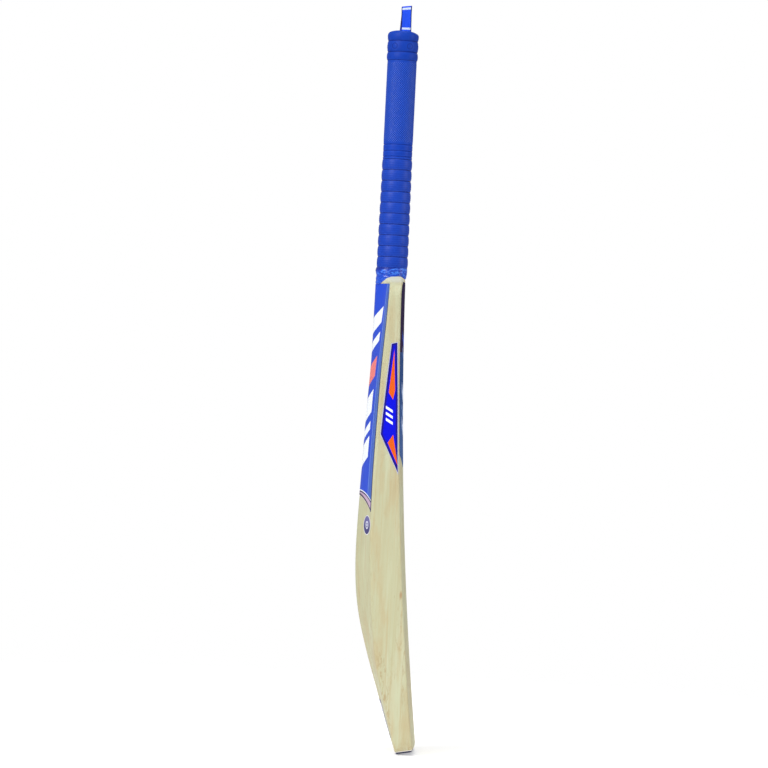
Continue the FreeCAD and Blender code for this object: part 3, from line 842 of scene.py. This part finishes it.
def willow():
    """Pale willow: straight grain along the blade, fine fibres, warm patches and small flecks, with
    painted highlights on top of the shoulders and just above the toe guard.
    """
    s = Shade("willow", 0.5, Specular_IOR_Level=0.25)
    drift = s.times(s.minus(s.noise((0.02, 0.02, 0.0022), 2), 0.5), 16.0)
    across = s.plus(s.x, s.times(s.y, 0.55))
    ring = s.math("FRACT", s.math("DIVIDE", s.plus(across, drift), GROWTH_RING))
    line = s.math("POWER", ring, 9.0)
    fibre = s.noise((1.1, 1.1, 0.012), 4, 0.62, size=2.2)
    lower = s.above(depth_of(s), 400, 80)
    patch = s.noise((0.06, 0.06, 0.014), 5, 0.62)
    patch = s.above(s.times_plus(lower, 0.07, patch), 0.56, 0.1)
    cool = s.above(s.noise((0.05, 0.09, 0.01), 4, 0.6), 0.56, 0.12)
    s.base = s.mix(s.times(patch, 0.8), (183, 182, 148), (182, 169, 132))
    s.paint(cool, (192, 196, 166), 0.6)
    s.paint(line, (170, 148, 104), 0.2)
    streak = s.above(s.noise((0.42, 0.42, 0.006), 3, 0.55), 0.62, 0.07)
    s.paint(streak, (180, 148, 106), 0.3)
    s.scale(fibre, 0.90, 1.09)
    fleck = s.above(s.noise((1.0, 1.0, 0.12), 2, 0.5), 0.72, 0.02)
    s.paint(fleck, (140, 108, 74), 0.35)
    for centre, radius in KNOTS:
        away = s.vector("MULTIPLY", s.vector("SUBTRACT", s.place, centre), (1, 1, 0.35))
        away = s.node("VectorMath", "LENGTH", Vector=away).outputs["Value"]
        s.paint(s.below(away, radius, radius * 0.7), (160, 116, 78), 0.7)
    wander = s.noise((0.1, 0.1, 0.02), 4, 0.62)
    vein = s.below(s.math("ABSOLUTE", s.minus(wander, 0.47)), 0.016, 0.013)
    veined = s.above(s.noise((0.05, 0.05, 0.011), 2), 0.5, 0.08)
    vein = s.times(s.times(vein, veined), s.times_plus(lower, 0.4, 0.1))
    s.paint(vein, (158, 126, 86))
    # painted highlight: the wood is paler over the shoulders' rounded top, where it faces the light
    s.paint(s.above(s.z, SHOULDER - 7, 3), (212, 213, 198), 0.6)
    # a painted highlight: a pale line on the wood just above the toe guard, following the tilted toe
    # end
    over_guard = s.times_plus(s.y, math.tan(TOE_TILT), s.z)
    over_guard = s.minus(over_guard, TOE + TOE_GUARD + TOE_BACK_Y * math.tan(TOE_TILT))
    s.paint(s.below(over_guard, 1.5, 0.25), (232, 230, 226), 0.85)
    s.roughen(fibre, 0.46, 0.16)
    s.bump(s.plus(fibre, s.times(line, -0.5)), 0.04, 0.5)
    return s.finish()


def cane(name, base_colour):
    """Handle cane: close dark pores along the strip."""
    s = Shade(name, 0.55, base_colour)
    fibre = s.noise((1.4, 1.4, 0.03), 3, 0.6, size=2.0)
    pores = s.above(s.noise((3.0, 3.0, 0.10), 2), 0.66, 0.05)
    s.scale(fibre, 0.86, 1.1)
    s.paint(pores, (136, 108, 70), 0.4)
    s.bump(fibre, 0.08, 0.5)
    return s.finish()


def grip_rubber():
    """Blue rubber: darker in the hollows as painted shade, lighter on the crests and raised pattern as
    painted highlights, polished on the raised pattern, with a fine tooth.
    """
    s = Shade("grip_rubber", 0.36)
    tooth = s.noise((1, 1, 1), 3, 0.6, size=2.2)
    cloud = s.noise((0.09, 0.09, 0.06), 4, 0.6)
    pointiness = s.node("NewGeometry").outputs["Pointiness"]
    crest_highlight, hollow = s.above(pointiness, 0.51, 0.02), s.below(pointiness, 0.485, 0.02)
    around = s.times(s.math("ARCTAN2", s.x, s.y), DIAMONDS)
    along = s.times(s.z, DIAMONDS / GRIP_RADIUS)
    diamonds = s.times(s.math("COSINE", around), s.math("COSINE", along))
    diamonds = s.times(diamonds, s.between(s.z, PLAIN_LOW, PLAIN_HIGH, 1.5))
    s.base = s.mix(cloud, (12, 49, 152), (19, 62, 174))
    # painted highlight: lighter on the sharp crests of the ribs, rings and pattern
    s.paint(crest_highlight, (44, 96, 210), 0.25)
    # painted highlight: lighter on the raised diamonds
    s.paint(s.above(diamonds, 0.25, 0.3), (62, 112, 220), 0.32)
    # painted shade: darker in the hollows between ribs, rings and pattern
    s.paint(hollow, (6, 18, 84), 0.6)
    s.scale(tooth, 0.86, 1.12)
    s.scale(s.above(s.z, RING_LOW, 3.0), 1.0, 0.9)
    crest = s.above(diamonds, 0.45, 0.25)
    s.roughen(tooth, s.times_plus(crest, -0.14, 0.32), 0.2)
    polish = s.times_plus(s.above(s.z, RIB_TOP, 1.0), -0.08, 0.18)
    s.links.new(s.times_plus(crest, 0.34, polish), s.shader.inputs["Specular IOR Level"])
    s.bump(s.times_plus(diamonds, 1.2, tooth), 0.16, 0.5)
    return s.finish()


def tape():
    """Shiny blue tape, with paler patches over its creases painted in as highlights."""
    s = Shade("collar_tape", 0.24, Specular_IOR_Level=0.4)
    sheen_patches = s.noise((0.22, 0.22, 0.62), 3, 0.6)
    round_handle = s.above(s.z, SHOULDER + 1.5, 3)
    pale = s.times(s.above(sheen_patches, 0.53, 0.09), s.times_plus(round_handle, 0.7, 0.3))
    s.base = s.mix(round_handle, (20, 68, 190), (12, 54, 174))
    # painted highlight: paler patches over the creases, strongest on the round of the handle
    s.paint(pale, (66, 128, 242))
    # painted shadow: the tape darkens just under the grip's rounded base, over a wider band towards the
    # back
    slant = s.times(s.math("MAXIMUM", s.plus(s.y, 10.0), 0.0), 0.12)
    s.paint(s.above(s.plus(s.z, slant), GRIP_BOTTOM - 0.3, 0.3), (8, 42, 146))
    threads = s.noise((0.5, 0.5, 4.0), 2)
    s.scale(threads, 0.93, 1.06)
    s.roughen(sheen_patches, 0.2, 0.16)
    s.bump(threads, 0.06, 0.4)
    return s.finish()


def ribbon_cloth():
    """Woven ribbon: ribs across it, darker edges and pale printed bars."""
    s = Shade("ribbon_cloth", 0.62, Specular_IOR_Level=0.2)
    node = s.node("Attribute")
    node.attribute_name = "weave"
    u, v = s.node("SeparateXYZ", Vector=node.outputs["Vector"]).outputs[:2]
    border = s.above(s.math("ABSOLUTE", u), RIBBON_WIDTH / 2 - 1.0, 0.3)
    weft, warp = s.times(v, 2 * math.pi / WEFT_PITCH), s.times(u, 2 * math.pi / WARP_PITCH)
    weave = s.times(s.math("SINE", weft), s.math("SINE", warp))
    s.base = s.mix(border, (22, 78, 236), (8, 22, 104))
    inner = s.minus(1.0, border)
    for start in RIBBON_BARS:
        bar = s.between(v, start, start + BAR_LENGTH, 0.3)
        s.paint(s.times(bar, inner), (214, 228, 246), 0.92)
    # painted shade: darker where the weave is low, between the threads
    s.scale(s.times_plus(weave, 0.5, 0.5), 0.86, 1.1)
    s.bump(weave, 0.12, 0.8)
    return s.finish()


def print_finish(name, shine=0.25):
    """Printed film, with the slight unevenness of the wood under it."""
    s = Shade(name, 0.36, Specular_IOR_Level=shine)
    ripple = s.noise((0.5, 0.5, 0.05), 3)
    s.roughen(ripple, 0.3, 0.12)
    s.bump(ripple, 0.05, 0.5)
    return s


def chevrons(s, d, x, field, marks):
    """Bands that point down the blade at the spine: middle, half height and colour of each."""
    line = s.times_plus(x, 0.55, d)
    for middle, half, tint in marks:
        s.paint(s.times(s.between(line, middle - half, middle + half, 0.35), field), tint)


def back_print():
    """The large sticker behind: blue with a paler flank, plain chevrons and a striped lower edge."""
    s = print_finish("back_print", 0.14)
    d, x = depth_of(s), s.math("ABSOLUTE", s.x)
    s.base = s.mix(s.noise((0.02, 0.02, 0.01), 2), (24, 62, 188), (32, 74, 204))
    from_border = s.minus(x, s.times(s.above(d, 50, 50), 8.0))
    s.paint(s.above(from_border, 33, 3), (62, 98, 178))
    s.paint(s.between(from_border, 29.0, 30.6, 0.3), (112, 146, 204))
    chevrons(s, d, x, s.below(x, 27.0, 0.4), (
        (60, 9.5, WHITE), (86, 5.5, WHITE), (121, 12.0, CORAL), (162, 13.5, WHITE), (191, 5.0, WHITE),
        (216, 12.5, WHITE)))
    # stripes that follow the lower edge and widen towards the flanks
    out = s.math("DIVIDE", x, BACK_HALF)
    curve = s.times_plus(s.math("POWER", out, BACK_LOW_POWER), BACK_LOW_DROP, BACK_LOW)
    edge = s.minus(curve, d)
    upper = s.minus(edge, s.times_plus(s.math("POWER", out, 1.3), 6.6, 6.6))
    for height, level, tint in (
            (upper, 0.0, WHITE), (upper, -1.2, NAVY), (upper, -3.0, (186, 160, 186)),
            (edge, 2.7, (24, 20, 48)), (edge, 0.6, (212, 196, 206))):
        s.paint(s.below(height, level), tint)
    s.paint(s.above(x, 50.3, 0.3), (40, 40, 96))
    return s.finish()


def edge_print():
    """The kite on each edge: blue, with two borders, orange wedges and plain white bars."""
    s = print_finish("edge_print", 0.12)
    d = depth_of(s)
    bow = s.times_plus(s.times(d, d), 1 / (2 * BOW_RADIUS), FACE_OFFSET)
    line = s.times_plus(d, FACE_LEAN, bow)
    behind = s.plus(s.y, line)
    top, top_far, wide, tip, near = KITE
    depth = s.inside(d, behind, [top, near, tip, wide, top_far])
    s.base = s.mix(s.above(depth, 0.6, 0.2), (178, 180, 214), (28, 18, 120))
    s.paint(s.above(depth, 2.8, 1.0), (8, 14, 208))
    for wedge in WEDGES:
        s.paint(s.above(s.inside(d, behind, wedge), 0.0, 0.18), ORANGE)
    slant = s.times_plus(behind, 0.6, d)
    field = s.between(behind, 9.5, 17.5, 0.2)
    for low in (163.0, 170.0, 177.0):
        s.paint(s.times(s.between(slant, low, low + 3.2, 0.2), field), WHITE)
    return s.finish()


def face_print():
    """The sticker on the face: near-black purple above, steel blue below, with plain chevrons."""
    s = print_finish("face_print", 0.0)
    d, x = depth_of(s), s.math("ABSOLUTE", s.x)
    speck = s.above(s.noise((0.9, 0.9, 0.9), 2), 0.6, 0.08)
    upper = s.mix(s.times(speck, 0.5), (50, 42, 68), (78, 62, 94))
    lower = s.mix(s.above(d, 170, 60), (54, 78, 126), (76, 100, 148))
    lower = s.mix(s.above(x, 50.4, 0.3), lower, (34, 44, 88))
    s.base = s.mix(s.above(d, 89, 0.5), upper, lower)
    chevrons(s, d, x, s.below(x, 22), (
        (80, 4.5, (52, 84, 190)), (96, 2.0, (130, 150, 206)), (142, 6.5, FACE_PALE),
        (164, 2.4, (150, 176, 220)), (182, 6.5, FACE_PALE)))
    return s.finish()


def round_print():
    """The small round sticker: purple with a white rim and a white ring."""
    s = print_finish("round_print")
    low, high = box_mm("back_roundel")
    middle = (low + high) / 2
    u, v = s.minus(s.x, middle.x), s.minus(s.z, middle.z)
    away = s.math("SQRT", s.plus(s.times(u, u), s.times(v, v)))
    s.base = s.mix(s.above(v, 0.0, 6.0), (58, 54, 112), (100, 96, 150))
    s.paint(s.above(away, 10.7), (228, 226, 232))
    for mark in (s.between(away, 3.2, 4.6), s.below(away, 1.5)):
        s.paint(mark, ROUNDEL_PALE)
    return s.finish()


def label_print():
    """The low label: pale film with a dark frame and plain lines."""
    s = print_finish("label_print")
    low, high = box_mm("toe_label")
    # distance inside the label's ends and sides
    in_x = s.minus(high.x, s.math("ABSOLUTE", s.x))
    in_z = s.minus((high.z - low.z) / 2, s.math("ABSOLUTE", s.minus(s.z, (low.z + high.z) / 2)))
    inside = s.math("MINIMUM", in_x, in_z)
    s.base = s.mix(s.below(inside, 4), (206, 204, 214), LABEL_FRAME)
    rows = s.between(s.math("FRACT", s.math("DIVIDE", s.z, 6.0)), 0.3, 0.6, 0.04)
    s.paint(s.times(rows, s.above(inside, 9)), (64, 78, 150))
    return s.finish()


def dark_rubber():
    """Toe guard: dull navy rubber, scuffed underneath."""
    s = Shade("toe_rubber", 0.6, (14, 12, 62), Specular_IOR_Level=0.15)
    tooth = s.noise((1, 1, 1), 4, 0.6, size=2.0)
    scuff = s.above(s.noise((0.25, 1.2, 1.2), 3), 0.62, 0.06)
    s.scale(tooth, 0.8, 1.2)
    s.paint(scuff, (76, 78, 118), 0.25)
    s.bump(tooth, 0.08, 0.5)
    return s.finish()


def twine():
    """Binding: fine waxed thread wound closely round the handle."""
    s = Shade("twine", 0.7, (206, 192, 158))
    turn = s.math("SINE", s.times(s.z, 2 * math.pi / TWINE_PITCH))
    # painted shade: darker in the grooves between the turns
    s.scale(s.times_plus(turn, 0.5, 0.5), 0.7, 1.1)
    s.bump(turn, 0.3, 0.9)
    return s.finish()


def spring_rubber():
    s = Shade("spring_rubber", 0.65, (150, 62, 44))
    tooth = s.noise((1, 1, 0.3), 3, size=1.6)
    s.scale(tooth, 0.85, 1.12)
    s.bump(tooth, 0.06, 0.4)
    return s.finish()


# ---- the bat

def dress_cad_pieces():
    """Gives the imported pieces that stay, inside the handle and splice, their own finishes."""
    looks = {
        "cane_": cane("cane", (204, 190, 148)),
        "rubber_spring_": spring_rubber(),
        "splice_veneer_": cane("veneer", (206, 178, 130)),
        "handle_binding": twine(),
    }
    for name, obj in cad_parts.items():
        for start, material in looks.items():
            if name.startswith(start):
                obj.data.materials.clear()
                obj.data.materials.append(material)


def build_bat():
    dress_cad_pieces()
    place(build_blade(willow()), "willow", "blade")
    place(build_toe_guard(dark_rubber()), "toe_rubber", "toe_guard")
    place(build_back_sticker(back_print()), "back_print", "back_sticker")
    place(build_face_sticker(face_print()), "face_print", "face_sticker")
    place(build_round_sticker(round_print()), "roundel_print", "back_roundel")
    place(build_toe_label(label_print()), "label_print", "toe_label")
    film = edge_print()
    for hand, side in (("left", -1), ("right", 1)):
        sticker = build_edge_sticker("edge_print_" + hand, side, film)
        place(sticker, "edge_print", "edge_sticker_" + hand)
    place(build_grip(grip_rubber()), "grip_rubber", "grip")
    place(build_collar(tape()), "collar_tape", "grip_collar")
    ribbon, length = build_ribbon(ribbon_cloth())
    place(ribbon, "ribbon", "hang_loop", "hang_loop_tail", body=None)
    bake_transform(ribbon)


# ---- stage, light and camera

FLOOR_GAP = 0.0006
# where the lights look, in metres
LIT_POINT = Vector((0, 0, -0.28))


def build_stage():
    """A plain pale floor that the toe stands on."""
    bpy.ops.mesh.primitive_circle_add(vertices=96, radius=1.2, fill_type="NGON",
                                      location=(0, 0, TOE * MM - FLOOR_GAP))
    floor = bpy.context.object
    floor.name = "floor"
    s = Shade("floor_paint", 0.9, (247, 247, 247), Specular_IOR_Level=0.0,
              Emission_Color=(1, 1, 1, 1), Emission_Strength=0.34)
    s.scale(s.noise((0.01, 0.01, 0.01)), 0.98, 1.0)
    floor.data.materials.append(s.finish())


def area_light(name, azimuth, elevation, distance, size, power):
    """A soft square light that looks at the middle of the bat."""
    data = bpy.data.lights.new(name, "AREA")
    data.size = size
    data.energy = power
    lamp = add(name, data)
    a, e = math.radians(azimuth), math.radians(elevation)
    out = Vector((math.sin(a) * math.cos(e), -math.cos(a) * math.cos(e), math.sin(e)))
    lamp.location = LIT_POINT + out * distance
    lamp.rotation_euler = (-out).to_track_quat("-Z", "Y").to_euler()


def build_light():
    """Three soft lights, and a world that is dimmer for the bat than for the camera."""
    world = bpy.data.worlds.new("studio")
    world.use_nodes = True
    nodes, links = world.node_tree.nodes, world.node_tree.links
    background = nodes["Background"]
    background.inputs["Color"].default_value = (1, 1, 1, 1)
    path, level = nodes.new("ShaderNodeLightPath"), nodes.new("ShaderNodeMapRange")
    links.new(path.outputs["Is Camera Ray"], level.inputs["Value"])
    level.inputs["To Min"].default_value = 0.4
    links.new(level.outputs[0], background.inputs["Strength"])
    bpy.context.scene.world = world
    area_light("key", 231, 26, distance=3.0, size=1.3, power=58)
    area_light("fill", 345, 12, distance=3.4, size=1.4, power=34)
    area_light("top", 258, 72, distance=2.6, size=1.4, power=32)
    bpy.context.scene.view_settings.view_transform = "Standard"


def build_camera():
    """Level with the middle of the bat, square to its edge and a little round towards the face."""
    azimuth, roll = math.radians(272.3), math.radians(2.79)
    distance, frame_height = 4.5, 0.90825
    aim = Vector((0, 0.00285, -0.2724))
    out = Vector((math.sin(azimuth), -math.cos(azimuth), 0))
    plumb = Vector((0, 0, 1))
    level = (-out).cross(plumb)
    right = level * math.cos(roll) + plumb * math.sin(roll)
    up = plumb * math.cos(roll) - level * math.sin(roll)
    data = bpy.data.cameras.new("camera")
    data.lens = data.sensor_width * distance / frame_height
    camera = add("camera", data)
    turned = Matrix((right, up, out)).transposed().to_4x4()
    camera.matrix_world = Matrix.Translation(aim + out * distance) @ turned
    bpy.context.scene.camera = camera


build_camera()
build_light()
build_stage()
build_bat()
